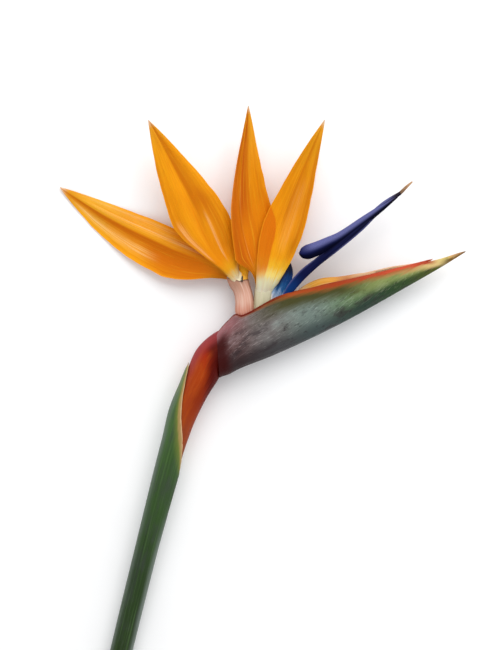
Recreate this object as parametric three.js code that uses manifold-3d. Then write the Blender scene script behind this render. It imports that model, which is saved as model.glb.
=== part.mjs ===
// A cut flower head of the bird of paradise, Strelitzia reginae, laid on a flat surface.
// Millimetres, +Z up. The flower lies along the XY plane: its stem runs towards -Y, its beak
// (the spathe) points to +X and its orange sepals fan out towards +Y. The origin is on the
// surface, under the middle of the flower's box. It rests at three low points round its weight:
// the cut end of the stem, the flank of the spathe and the underside of the left sepal.

import * as THREE from "three";
import { mergeVertices } from "three/addons/utils/BufferGeometryUtils.js";
import Module from "manifold-3d";

const wasm = await Module();
wasm.setup();

const { smoothstep, lerp } = THREE.MathUtils;
const up = new THREE.Vector3(0, 0, 1);

// ---- Driving dimensions ----

const midplane = 12.1; // height of the plane that the spathe and the florets grow in
const sheathGap = 0.42; // between the stem and the bract round it, facets allowed for
const sheathWall = 0.9;
const spatheWall = 1.2;
const sidesRound = 18; // facets round the stem and the sheath
const rodSides = 12; // facets round a tube, the bud and the small trim
const sepalThickness = 0.9;
const clawThickness = 2.2; // of a sepal's foot, where it leaves the floret's tube
const seatGap = 0.35; // between a floret's tube and the claws seated on it

// The flower stem: [x, y, z, radius in the plane, upright radius] from the cut end, through the
// bend of the neck, to the tip of the axis inside the spathe.
const stemStations = [
  [-89.9, -172.3, 6.3, 5.25, 5.25],
  [-84.9, -151.5, 7.2, 5.3, 5.3],
  [-70.2, -92.1, 9.3, 5.55, 5.55],
  [-57.6, -44.1, 10.8, 6.4, 6.4],
  [-52.5, -26.1, 11.4, 6.85, 6.8],
  [-47.5, -9.9, 11.8, 8.0, 7.6],
  [-41.4, 3.6, midplane, 8.6, 8.2],
  [-36.3, 13.5, midplane, 9.6, 8.5],
  [-30.8, 23.6, midplane, 10.3, 8.6],
  [-21.9, 29.0, midplane, 9.2, 8.3],
  [-11.7, 33.3, midplane, 7.0, 7.0],
  [-0.9, 36.9, midplane, 4.0, 4.0],
  [8.0, 40.5, midplane, 1.5, 1.5],
];

// The sheathing bract wraps the stem. Its slanting mouth starts on the right at sheathMouthLow
// along the stem, and ends in a tip on the left, sheathMouthRise further up.
const sheathMouthLow = 135.5;
const sheathMouthRise = 61;
const sheathMouthPower = 1.3;

// The spathe is a boat-shaped bract. Keel and rim are its lower and upper outlines, [x, y].
const keelLine = [
  [-26.0, 9.8],
  [-15.3, 16.4],
  [4.5, 24.3],
  [28.5, 35.1],
  [52.5, 47.1],
  [82.5, 63.9],
  [106.5, 77.7],
  [121.5, 87.0],
];
const rimLine = [
  [-27.9, 39.3],
  [-21.3, 45.9],
  [-16.8, 49.8],
  [-12.9, 48.7],
  [-1.5, 52.5],
  [10.5, 58.5],
  [22.5, 63.9],
  [34.5, 67.5],
  [58.5, 72.7],
  [82.5, 78.3],
  [99.3, 82.4],
  [121.5, 87.6],
];
const spatheHalfThickness = [10.6, 11.8, 12.4, 11.8, 10.2, 7.9, 5.2, 2.5, 0.6]; // base to tip
// Where the mouth opens and closes again, as shares of the spathe's length, and how far it gapes.
const mouth = { opens: 0.07, open: 0.14, narrows: 0.26, closes: 0.88, halfWidth: 5.7 };

// Every sepal and petal has a spine, [x, y, z] from foot to tip, and a half blade on each side.
// A half blade has its half-width at the foot and at the widest place, where that is along the
// spine, how fast it widens and tapers, how far it folds down from the spine, and how far its
// margin cups up again. Left and right are as seen from above, looking from foot to tip.
const blades = {
  floret_1_sepal_left: {
    colour: 0xee8a12,
    spine: [
      [-18.4, 72.7, 12.2],
      [-31, 81.5, 12.4],
      [-62.8, 96.2, 7.6],
      [-92, 109.6, 2.4],
      [-122.2, 126.0, 1.7],
    ],
    seats: ["floret_1_tube"],
    left: { foot: 3.0, widest: 20.9, at: 0.36, widen: 1.1, taper: 1.65, fold: 0.5, cup: 0.38 },
    right: { foot: 2.8, widest: 8.4, at: 0.4, widen: 0.8, taper: 2, fold: 0.35, cup: 0.05 },
  },
  floret_1_sepal_near: {
    colour: 0xf59a16,
    spine: [
      [-15.4, 70.6, 17.4],
      [-20.4, 76.4, 16.8],
      [-29.4, 87.2, 16.8],
      [-43.5, 116, 19],
      [-57.9, 145, 25],
      [-68.4, 165.3, 31],
    ],
    seats: ["floret_1_tube"],
    left: { foot: 3.2, widest: 15.2, at: 0.42, widen: 3.4, taper: 1.5, fold: -0.3, cup: -0.2 },
    right: { foot: 1.8, widest: 18.4, at: 0.34, widen: 1.1, taper: 1.3, fold: -0.2, cup: -0.3 },
  },
  floret_1_sepal_far: {
    colour: 0xf08c10,
    spine: [
      [-11.2, 69.6, 14.2],
      [-10.9, 75.0, 14.6],
      [-10.4, 82, 13.4],
      [-9.6, 105, 6.8],
      [-9.2, 130, 5.2],
      [-8.8, 160, 4.6],
    ],
    seats: ["floret_1_tube"],
    left: { foot: 2.4, widest: 9.0, at: 0.4, widen: 1.4, taper: 1.3, fold: 0.1, cup: 0 },
    right: { foot: 2.3, widest: 10.0, at: 0.4, widen: 1.4, taper: 1.3, fold: 0.1, cup: 0 },
  },
  floret_2_sepal_upright: {
    colour: 0xee7d10,
    spine: [
      [-2.6, 66.0, 15.6],
      [-4.9, 76, 17.8],
      [-9.6, 90, 20.6],
      [-13.4, 108, 22.2],
      [-13.6, 130, 23],
      [-8.8, 174.2, 24],
    ],
    seats: ["floret_2_tube"],
    left: { foot: 1.5, widest: 9.0, at: 0.14, widen: 5, taper: 0.75, fold: -0.1, cup: 0 },
    right: { foot: 1.8, widest: 20.6, at: 0.36, widen: 1.2, taper: 1.2, fold: -0.15, cup: -0.25 },
  },
  floret_2_sepal_near: {
    colour: 0xf39414,
    spine: [
      [0.6, 62.4, 17.6],
      [3.8, 77.0, 20.6],
      [9.8, 100.2, 25],
      [26.9, 143.9, 32],
      [36.6, 165.3, 35.5],
    ],
    seats: ["floret_2_tube"],
    left: { foot: 4.6, widest: 10.4, at: 0.38, widen: 1.1, taper: 1.25, fold: -0.08, cup: -0.1 },
    right: { foot: 4.6, widest: 14.2, at: 0.37, widen: 1.2, taper: 1.4, fold: 0.4, cup: 0.12 },
  },
  floret_2_sepal_far: {
    colour: 0xe88610,
    spine: [
      [0.8, 62.4, 6.8],
      [4.6, 77.4, 6.8],
      [11.4, 100, 6.4],
      [25.0, 135, 5.2],
      [33.4, 154, 4.6],
    ],
    seats: ["floret_2_tube"],
    left: { foot: 4.0, widest: 8.0, at: 0.38, widen: 1.1, taper: 1.5, fold: 0.1, cup: 0 },
    right: { foot: 4.0, widest: 9.4, at: 0.42, widen: 1.6, taper: 1.5, fold: 0.1, cup: 0 },
  },
  floret_2_small_petal: {
    colour: 0x1d3c84,
    spine: [
      [7.2, 57.2, 13.7],
      [9.2, 61.2, 13.7],
      [12.6, 70.0, 15.0],
      [16.2, 80.6, 17.2],
    ],
    seats: ["floret_2_tube", "arrow_shaft"],
    left: { foot: 3.8, widest: 4.2, at: 0.2, widen: 1, taper: 1.1, fold: -0.2, cup: 0 },
    right: { foot: 1.6, widest: 3.6, at: 0.45, widen: 1, taper: 2.4, fold: 0.3, cup: 0 },
  },
};
const bladeSteps = { along: 16, across: 8 };

// The floret tubes, the arrow of joined blue petals and the next bud: [x, y, z, radius in the
// plane, upright radius].
const rods = {
  floret_1_tube: {
    colour: 0xd9a08c,
    stations: [
      [-8.4, 43.6, midplane, 4.2, 4.2],
      [-10.7, 50.5, midplane, 5.5, 4.5],
      [-11.2, 57.9, midplane, 5.6, 4.8],
      [-12.3, 63.9, midplane, 5.6, 4.8],
      [-14.5, 69.4, midplane, 6.8, 4.2],
      [-17.8, 74.2, midplane, 4.8, 1.4],
    ],
  },
  floret_2_tube: {
    colour: 0xe9e2c4,
    stations: [
      [1.6, 42.2, midplane, 3.2, 3.2],
      [-0.6, 50.0, midplane, 4.2, 3.8],
      [-0.2, 56.4, midplane, 4.9, 4.2],
      [0.4, 63.2, midplane, 5.6, 4.2],
      [1.4, 69.6, midplane, 5.4, 1.4],
    ],
  },
  next_bud: {
    colour: 0xf2a53a,
    stations: [
      [16.5, 47.0, midplane, 1.2, 1.2],
      [20.5, 53.4, midplane, 4.0, 3.2],
      [25.4, 60.2, midplane, 6.0, 3.4],
      [34.2, 64.9, midplane, 5.9, 2.9],
      [46.5, 67.5, midplane, 4.8, 2.0],
      [59.7, 71.7, midplane, 2.9, 1.2],
      [68.0, 73.9, midplane, 1.0, 0.6],
    ],
  },
  floret_2_style: {
    colour: 0xb98a5a,
    stations: [
      [82.6, 122.6, 16.4, 1.0, 0.8],
      [86.0, 126.0, 16.3, 0.7, 0.6],
      [89.6, 129.2, 16.2, 0.35, 0.35],
    ],
  },
  floret_1_petal_stub: {
    colour: 0x1a1210,
    stations: [
      [-12.6, 68.8, 17.5, 0.4, 0.5],
      [-12.5, 70.9, 17.2, 0.5, 0.6],
      [-12.4, 72.9, 16.8, 0.35, 0.4],
    ],
  },
};

const arrowColour = 0x22307a;
const arrowShaft = [
  [6.2, 50.8, 12.4, 1.6, 1.6],
  [12.6, 57.6, 13.2, 2.1, 2.1],
  [14.6, 61.8, 14.8, 2.3, 2.1],
  [17.0, 66.6, 18.2, 2.5, 2.3],
  [22.6, 74.0, 20.2, 2.3, 2.2],
  [32.1, 81.4, 20.4, 2.2, 2.2],
  [43.8, 89.8, 19.8, 2.5, 2.6],
  [58.2, 101.8, 18.4, 2.4, 2.4],
  [72.6, 115.6, 17.0, 1.9, 1.8],
  [82.2, 122.2, 16.4, 1.1, 1.0],
];
// The two joined petals widen into a lobe on each side of the shaft.
const arrowLobe = [
  [21.7, 86.0, 2.6, 0.8, 0.6],
  [23.4, 86.2, 2.8, 3.2, 1.9],
  [27.4, 87.1, 2.8, 4.4, 2.4],
  [33.2, 89.3, 2.7, 4.2, 2.4],
  [39.2, 92.2, 2.5, 3.8, 2.4],
  [46.0, 95.6, 2.2, 3.3, 2.2],
  [61.2, 106.2, 1.4, 2.7, 1.9],
  [70.8, 113.2, 0.8, 2.2, 1.6],
  [80.0, 120.4, 0.2, 1.2, 1.0],
];

// ---- Shape tools ----

function addQuad(triangles, a, b, c, d) {
  triangles.push(a, b, c, a, c, d);
}

function signedVolume(points, triangles) {
  let total = 0;
  for (let k = 0; k < triangles.length; k += 3) {
    const [a, b, c] = [points[triangles[k]], points[triangles[k + 1]], points[triangles[k + 2]]];
    total += a.dot(new THREE.Vector3().crossVectors(b, c)) / 6;
  }
  return total;
}

// Indexed geometry whose faces point out, whichever way its rows run.
function closedGeometry(points, triangles) {
  if (signedVolume(points, triangles) < 0) {
    triangles.reverse();
  }
  return new THREE.BufferGeometry().setFromPoints(points).setIndex(triangles);
}

// A solid between two matching grids of points. With wrap, each row closes on itself.
function between(upper, lower, wrap = false) {
  const rows = upper.length;
  const columns = upper[0].length;
  const spans = wrap ? columns : columns - 1;
  const top = (i, j) => i * columns + (j % columns);
  const under = (i, j) => rows * columns + top(i, j);
  const triangles = [];
  for (let i = 0; i < rows - 1; i++) {
    for (let j = 0; j < spans; j++) {
      addQuad(triangles, top(i, j), top(i + 1, j), top(i + 1, j + 1), top(i, j + 1));
      addQuad(triangles, under(i, j), under(i, j + 1), under(i + 1, j + 1), under(i + 1, j));
    }
  }
  const end = rows - 1;
  for (let j = 0; j < spans; j++) {
    addQuad(triangles, top(0, j), top(0, j + 1), under(0, j + 1), under(0, j));
    addQuad(triangles, top(end, j + 1), top(end, j), under(end, j), under(end, j + 1));
  }
  if (!wrap) {
    const side = columns - 1;
    for (let i = 0; i < end; i++) {
      addQuad(triangles, top(i + 1, 0), top(i, 0), under(i, 0), under(i + 1, 0));
      addQuad(triangles, top(i, side), top(i + 1, side), under(i + 1, side), under(i, side));
    }
  }
  return closedGeometry([...upper.flat(), ...lower.flat()], triangles);
}

// A smooth value at t, from 0 to 1, through evenly spaced values.
function through(values, t) {
  const last = values.length - 1;
  const k = Math.min(Math.floor(t * last), last - 1);
  const f = t * last - k;
  const [a, b, c, d] = [k - 1, k, k + 1, k + 2].map((i) => values[Math.min(Math.max(i, 0), last)]);
  return b + 0.5 * f * (c - a + f * (2 * a - 5 * b + 4 * c - d + f * (3 * (b - c) + d - a)));
}

// A smooth rod: at(u) gives its centre, sideways and upward directions and radii, where u is the
// share of its length.
function track(stations) {
  const axis = new THREE.CatmullRomCurve3(stations.map(([x, y, z]) => new THREE.Vector3(x, y, z)));
  const radii = new THREE.CatmullRomCurve3(
    stations.map(([, , , flat, upright]) => new THREE.Vector3(flat, upright, 0)),
  );
  const at = (u) => {
    const t = axis.getUtoTmapping(Math.min(Math.max(u, 0), 1));
    const along = axis.getTangent(t);
    const side = new THREE.Vector3(along.y, -along.x, 0).normalize();
    const upward = new THREE.Vector3().crossVectors(side, along);
    const radius = radii.getPoint(t);
    return { centre: axis.getPoint(t), side, upward, flat: radius.x, upright: radius.y };
  };
  return { at, length: axis.getLength() };
}

// The point at an angle round a rod, measured from its right side over its top.
function pointRound(place, angle, extra = 0) {
  return place.centre
    .clone()
    .addScaledVector(place.side, (place.flat + extra) * Math.cos(angle))
    .addScaledVector(place.upward, (place.upright + extra) * Math.sin(angle));
}

function rod(stations, steps, sides) {
  const { at } = track(stations);
  const points = [];
  for (let i = 0; i <= steps; i++) {
    const place = at(i / steps);
    for (let j = 0; j < sides; j++) {
      points.push(pointRound(place, (2 * Math.PI * j) / sides));
    }
  }
  const index = (i, j) => i * sides + (j % sides);
  const foot = points.push(at(0).centre) - 1;
  const tip = points.push(at(1).centre) - 1;
  const triangles = [];
  for (let j = 0; j < sides; j++) {
    for (let i = 0; i < steps; i++) {
      addQuad(triangles, index(i, j), index(i, j + 1), index(i + 1, j + 1), index(i + 1, j));
    }
    triangles.push(foot, index(0, j + 1), index(0, j));
    triangles.push(tip, index(steps, j), index(steps, j + 1));
  }
  return closedGeometry(points, triangles);
}

function toManifold(geometry) {
  const merged = mergeVertices(geometry.clone().deleteAttribute("normal").deleteAttribute("uv"));
  return new wasm.Manifold(
    new wasm.Mesh({
      numProp: 3,
      vertProperties: merged.attributes.position.array,
      triVerts: new Uint32Array(merged.index.array),
    }),
  );
}

function toGeometry(solid) {
  const mesh = solid.getMesh();
  return new THREE.BufferGeometry()
    .setAttribute("position", new THREE.BufferAttribute(mesh.vertProperties, 3))
    .setIndex(new THREE.BufferAttribute(mesh.triVerts, 1));
}

// A solid with what lies under the surface shaved off, so that it rests on a small flat spot.
function restingFlat(geometry) {
  const depth = 20;
  const ground = new THREE.BoxGeometry(400, 400, depth).translate(0, 0, -depth / 2);
  return toGeometry(toManifold(geometry).subtract(toManifold(ground)));
}

// ---- Sub-parts ----

const stem = track(stemStations);

function stemGeometry() {
  return rod(stemStations, 32, sidesRound);
}

// How far along the stem the sheath reaches at an angle round it, in mm.
function sheathReach(angle) {
  const turned = (1 - Math.cos(angle)) / 2;
  return sheathMouthLow + sheathMouthRise * turned ** sheathMouthPower;
}

function sheathGeometry() {
  const rows = 20;
  const sides = sidesRound;
  const face = (extra) =>
    Array.from({ length: rows + 1 }, (_, i) =>
      Array.from({ length: sides }, (_, j) => {
        const angle = (2 * Math.PI * j) / sides;
        const u = (sheathReach(angle) * i) / rows / stem.length;
        return pointRound(stem.at(u), angle, extra);
      }),
    );
  const inner = face(sheathGap);
  const outer = face(sheathGap + sheathWall);
  return restingFlat(between(outer, inner, true));
}

// Half the width of the spathe's mouth: nearly closed at the base and at the beak.
function mouthHalfWidth(t) {
  const open = smoothstep(t, mouth.opens, mouth.open);
  const narrowed = 1 - smoothstep(t, mouth.narrows, mouth.closes);
  return 0.2 + mouth.halfWidth * open * narrowed;
}

// A point of the spathe's skin. t runs from the base to the beak's tip, and v from the far rim
// (-1) under the keel (0) to the near rim (1). The section is an arc of an ellipse.
function spathePoint(keel, rim, t, v, inset) {
  const low = keel.getPointAt(t);
  const high = rim.getPointAt(t);
  const depth = low.distanceTo(high);
  const halfThickness = through(spatheHalfThickness, t);
  const opening = Math.min(mouthHalfWidth(t) / halfThickness, 0.5);
  const turn = (Math.PI - Math.asin(opening)) * Math.abs(v);
  const semiDepth = depth / (1 + Math.sqrt(1 - opening ** 2));
  const wall = Math.min(inset, 0.4 * halfThickness, 0.4 * semiDepth);
  const height = (semiDepth - (semiDepth - wall) * Math.cos(turn)) / depth;
  const sideways = Math.sign(v) * (halfThickness - wall) * Math.sin(turn);
  return new THREE.Vector3(
    lerp(low.x, high.x, height),
    lerp(low.y, high.y, height),
    midplane + sideways,
  );
}

function spatheGeometry() {
  const rows = 24;
  const halfColumns = 9;
  const keel = new THREE.CatmullRomCurve3(keelLine.map(([x, y]) => new THREE.Vector3(x, y, 0)));
  const rim = new THREE.CatmullRomCurve3(rimLine.map(([x, y]) => new THREE.Vector3(x, y, 0)));
  const face = (inset) =>
    Array.from({ length: rows + 1 }, (_, i) =>
      Array.from({ length: 2 * halfColumns + 1 }, (_, j) =>
        spathePoint(keel, rim, (i / rows) ** 1.25, j / halfColumns - 1, inset),
      ),
    );
  return restingFlat(between(face(0), face(spatheWall)));
}

// Half-width of one side of a blade at u, the share of its length from the foot.
function halfWidth(half, u) {
  if (u < half.at) {
    const widened = Math.sin((Math.PI / 2) * (u / half.at)) ** half.widen;
    return lerp(half.foot, half.widest, widened);
  }
  const tipHalfWidth = 0.3;
  const tapered = ((u - half.at) / (1 - half.at)) ** half.taper;
  return lerp(half.widest, tipHalfWidth, tapered);
}

function bladeGeometry({ spine, left, right }) {
  const curve = new THREE.CatmullRomCurve3(spine.map((p) => new THREE.Vector3(...p)));
  const upper = [];
  const lower = [];
  for (let i = 0; i <= bladeSteps.along; i++) {
    const u = i / bladeSteps.along;
    const centre = curve.getPointAt(u);
    const along = curve.getTangentAt(u);
    const side = new THREE.Vector3(along.y, -along.x, 0).normalize();
    const thickness = lerp(clawThickness, sepalThickness, smoothstep(u, 0, 0.2));
    const row = Array.from({ length: bladeSteps.across + 1 }, (_, j) => {
      const v = (2 * j) / bladeSteps.across - 1;
      const half = v < 0 ? left : right;
      const width = halfWidth(half, u);
      const rise = width * (half.cup * v * v - half.fold * Math.abs(v));
      return centre.clone().addScaledVector(side, v * width).addScaledVector(up, rise);
    });
    upper.push(row.map((p) => p.clone().addScaledVector(up, thickness / 2)));
    lower.push(row.map((p) => p.clone().addScaledVector(up, -thickness / 2)));
  }
  return between(upper, lower);
}

// A blade cut clear of the tube or shaft that it grows against.
function seated(geometry, stations) {
  const grown = stations.map(([x, y, z, flat, upright]) => [
    x,
    y,
    z,
    flat + seatGap,
    upright + seatGap,
  ]);
  const { at, length } = track(grown);
  const ahead = at(1).centre.sub(at(1 - seatGap / length).centre);
  const end = grown[grown.length - 1];
  end[0] += ahead.x;
  end[1] += ahead.y;
  const socket = toManifold(rod(grown, 2 * (grown.length - 1), rodSides));
  return toGeometry(toManifold(geometry).subtract(socket));
}

function arrowGeometry() {
  const shaft = track(arrowShaft);
  const lobe = (side) =>
    toManifold(
      rod(
        arrowLobe.map(([x, y, offset, flat, upright], k) => {
          const share = 0.45 + (0.55 * k) / (arrowLobe.length - 1);
          return [x, y, shaft.at(share).centre.z + side * offset, flat, upright];
        }),
        14,
        10,
      ),
    );
  return toGeometry(toManifold(rod(arrowShaft, 18, 10)).add(lobe(1)).add(lobe(-1)));
}

// ---- The flower ----

const flower = new THREE.Group();

function addPart(name, geometry, colour, roughness) {
  const material = new THREE.MeshStandardMaterial({ color: colour, roughness, metalness: 0 });
  const mesh = new THREE.Mesh(geometry, material);
  mesh.name = name;
  flower.add(mesh);
}

addPart("stem", stemGeometry(), 0xa8432a, 0.5);
addPart("sheath", sheathGeometry(), 0x3e5a35, 0.55);
addPart("spathe", spatheGeometry(), 0x5c7a5a, 0.5);
for (const [name, { stations, colour }] of Object.entries(rods)) {
  addPart(name, rod(stations, 2 * (stations.length - 1), rodSides), colour, 0.5);
}
for (const [name, blade] of Object.entries(blades)) {
  let geometry = bladeGeometry(blade);
  for (const seat of blade.seats) {
    geometry = seated(geometry, seat === "arrow_shaft" ? arrowShaft : rods[seat].stations);
  }
  const rests = name === "floret_1_sepal_left";
  addPart(name, rests ? restingFlat(geometry) : geometry, blade.colour, 0.45);
}
addPart("floret_2_arrow", arrowGeometry(), arrowColour, 0.4);

export default flower;
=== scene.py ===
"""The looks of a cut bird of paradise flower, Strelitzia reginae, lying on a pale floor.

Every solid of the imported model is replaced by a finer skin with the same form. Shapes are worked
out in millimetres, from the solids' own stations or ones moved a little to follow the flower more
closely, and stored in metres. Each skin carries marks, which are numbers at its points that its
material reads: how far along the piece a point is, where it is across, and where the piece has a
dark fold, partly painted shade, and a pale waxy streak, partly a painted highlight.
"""

import math
from types import SimpleNamespace

import bmesh
import bpy
import numpy as np
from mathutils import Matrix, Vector


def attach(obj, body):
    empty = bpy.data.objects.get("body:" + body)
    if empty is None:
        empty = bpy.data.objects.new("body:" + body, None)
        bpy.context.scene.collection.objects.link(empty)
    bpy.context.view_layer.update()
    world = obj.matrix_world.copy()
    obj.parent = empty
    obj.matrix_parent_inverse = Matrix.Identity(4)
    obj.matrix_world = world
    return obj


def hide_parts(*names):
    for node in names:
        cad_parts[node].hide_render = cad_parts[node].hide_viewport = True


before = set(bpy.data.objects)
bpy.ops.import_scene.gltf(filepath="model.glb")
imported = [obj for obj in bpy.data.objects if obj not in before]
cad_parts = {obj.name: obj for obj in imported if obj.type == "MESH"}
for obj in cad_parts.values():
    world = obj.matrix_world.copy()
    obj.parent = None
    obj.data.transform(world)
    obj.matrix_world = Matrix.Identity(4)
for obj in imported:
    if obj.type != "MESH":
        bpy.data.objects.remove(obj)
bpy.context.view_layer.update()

MM = 0.001
MIDPLANE = 12.1  # mm, the height of the plane that the spathe and the florets grow in

# ---- Driving dimensions, in mm ----

# Rods: [x, y, z, radius in the plane, upright radius] from foot to tip.
STEM = [
    [-89.9, -172.3, 6.3, 5.25, 5.25], [-84.9, -151.5, 7.2, 5.3, 5.3],
    [-70.2, -92.1, 9.3, 5.55, 5.55], [-57.6, -44.1, 10.8, 6.4, 6.4],
    [-52.5, -26.1, 11.4, 6.85, 6.8], [-47.5, -9.9, 11.8, 8.0, 7.6],
    [-41.4, 3.6, MIDPLANE, 8.6, 8.2], [-36.3, 13.5, MIDPLANE, 9.6, 8.5],
    [-30.8, 23.6, MIDPLANE, 10.3, 8.6], [-21.9, 29.0, MIDPLANE, 9.2, 8.3],
    [-11.7, 33.3, MIDPLANE, 7.0, 7.0], [-0.9, 36.9, MIDPLANE, 4.0, 4.0],
    [8.0, 40.5, MIDPLANE, 1.5, 1.5],
]
NECK_END = 9  # the place in STEM of the station where the neck goes into the spathe
NECK_FILL = 2.7  # how much fuller the neck's skin is there, to fill the spathe's foot
SHEATH_GAP = 0.42  # between the stem and the bract round it
SHEATH_WALL = 0.9
SHEATH_MOUTH_LOW = 135.5  # along the stem, on its right side
SHEATH_MOUTH_RISE = 61  # from there to the tip on the left side
SHEATH_MOUTH_POWER = 1.3
SHEATH_MOUTH_BELLY = 1.1  # how much more its lower half bulges up than its solid's
SHEATH_RADIUS = 6.9  # at its mouth
SHEATH_PATTERN_RADIUS = 7  # that its pattern is laid round
SHEATH_RIBS = 26
LEAF_RIB_HEIGHT = 0.05  # on the sheath and the spathe

KEEL = [
    [-26.0, 9.8], [-15.3, 16.4], [4.5, 24.3], [28.5, 35.1], [52.5, 47.1], [82.5, 63.9],
    [106.5, 77.7], [121.5, 87.0],
]
RIM = [
    [-27.9, 39.3], [-21.3, 45.9], [-16.8, 49.8], [-12.9, 48.7], [-1.5, 52.5], [10.5, 58.5],
    [22.5, 63.9], [34.5, 67.5], [58.5, 72.7], [82.5, 78.3], [99.3, 82.4], [121.5, 87.6],
]
SPATHE_HALF_THICKNESS = [10.6, 11.8, 12.4, 11.8, 10.2, 7.9, 5.2, 2.5, 0.6]
SPATHE_WALL = 1.2
SPATHE_LENGTH = 165  # for its pattern
SPATHE_SWELL = 0.35  # its long uneven bulges
SPATHE_HUG = 1.7  # how far its foot closes in round the neck
SPATHE_FAR_LIFT = 1.7  # how much higher its far rim is than its solid's, towards the beak
SPATHE_NEAR_LIFT = 3.2  # and its near rim in front of the tubes
BEAK_STEP = 1.5  # how far both rims step down before the beak's tip
SPLINTER = 6.0  # how far the near rim's torn end reaches past the step
# Shares of the spathe's length where its mouth starts to open, is open, narrows and is closed
MOUTH_RUN = (0.07, 0.14, 0.26, 0.88)
MOUTH_HALF_WIDTH = 5.7
MOUTH_SLIT = 0.2  # half the gap that stays between the closed rims

# The tubes are up to 1.2 mm fuller than their solids in the plane, but the first is 0.7 mm
# narrower at its top.
TUBE_1 = [
    [-8.4, 43.6, MIDPLANE, 4.7, 4.2], [-10.7, 50.5, MIDPLANE, 6.0, 4.5],
    [-11.2, 57.9, MIDPLANE, 5.6, 4.8], [-12.4, 63.9, MIDPLANE, 5.4, 4.8],
    [-14.9, 69.4, MIDPLANE, 6.1, 4.2], [-17.8, 74.2, MIDPLANE, 4.8, 1.4],
]
TUBE_1_SEAM = SimpleNamespace(x=[-24.3, -14.1, -9.3], y=[72.3, 69.3, 70.5], notch=-12.9)
TUBE_2 = [
    [1.6, 42.2, MIDPLANE, 4.4, 3.2], [-0.4, 50.0, MIDPLANE, 5.4, 3.8],
    [0.1, 56.4, MIDPLANE, 5.8, 4.0], [0.5, 63.2, MIDPLANE, 5.8, 4.1],
    [1.4, 69.6, MIDPLANE, 5.2, 2.0],
]
NEXT_BUD = [
    [16.5, 47.0, MIDPLANE, 1.2, 1.2], [20.5, 53.4, MIDPLANE, 4.0, 3.2],
    [25.4, 60.2, MIDPLANE, 6.0, 3.4], [34.2, 64.9, MIDPLANE, 5.9, 2.9],
    [46.5, 67.5, MIDPLANE, 4.8, 2.0], [59.7, 71.7, MIDPLANE, 2.9, 1.2],
    [68.0, 73.9, MIDPLANE, 1.0, 0.6],
]
STYLE = [
    [80.6, 121.0, 16.4, 0.8, 0.7], [82.6, 122.6, 16.4, 1.05, 0.85], [86.0, 126.0, 16.3, 0.9, 0.75],
    [89.6, 129.2, 16.2, 0.4, 0.4],
]
PETAL_STUB = [
    [-12.6, 68.8, 17.5, 0.4, 0.5], [-12.5, 70.9, 17.2, 0.5, 0.6], [-12.4, 72.9, 16.8, 0.35, 0.4],
]
ARROW_SHAFT = [
    [6.2, 50.8, 12.4, 1.6, 1.6], [12.6, 57.6, 13.2, 2.1, 2.1], [14.6, 61.8, 14.8, 2.3, 2.1],
    [17.6, 66.5, 18.2, 2.7, 2.3], [23.9, 73.6, 20.2, 2.8, 2.2], [32.6, 81.0, 20.4, 2.4, 2.2],
    [43.8, 89.8, 19.8, 2.5, 2.6], [58.2, 101.8, 18.4, 2.4, 2.4], [72.6, 115.6, 17.0, 1.7, 1.6],
    [82.2, 122.2, 16.4, 1.1, 1.0],
]
# The third number of a lobe is its distance from the shaft's own height.
ARROW_LOBE = [
    [21.7, 86.0, 2.6, 0.8, 0.6], [23.4, 86.2, 2.8, 3.2, 1.9], [27.4, 87.1, 2.8, 4.4, 2.4],
    [33.2, 89.3, 2.7, 4.2, 2.4], [39.2, 92.2, 2.5, 3.8, 2.4], [46.0, 95.6, 2.2, 3.3, 2.2],
    [61.2, 106.2, 1.4, 2.7, 1.9], [70.8, 113.2, 0.8, 2.0, 1.6], [80.0, 120.4, 0.2, 1.2, 1.0],
]


def half(foot, widest, at, widen, taper, fold, cup):
    """One side of a blade: half-widths at the foot and at the widest place, where that is along
    the spine, how fast it widens and tapers, and how it folds down and cups up again."""
    return SimpleNamespace(foot=foot, widest=widest, at=at, widen=widen, taper=taper, fold=fold, cup=cup)
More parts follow.
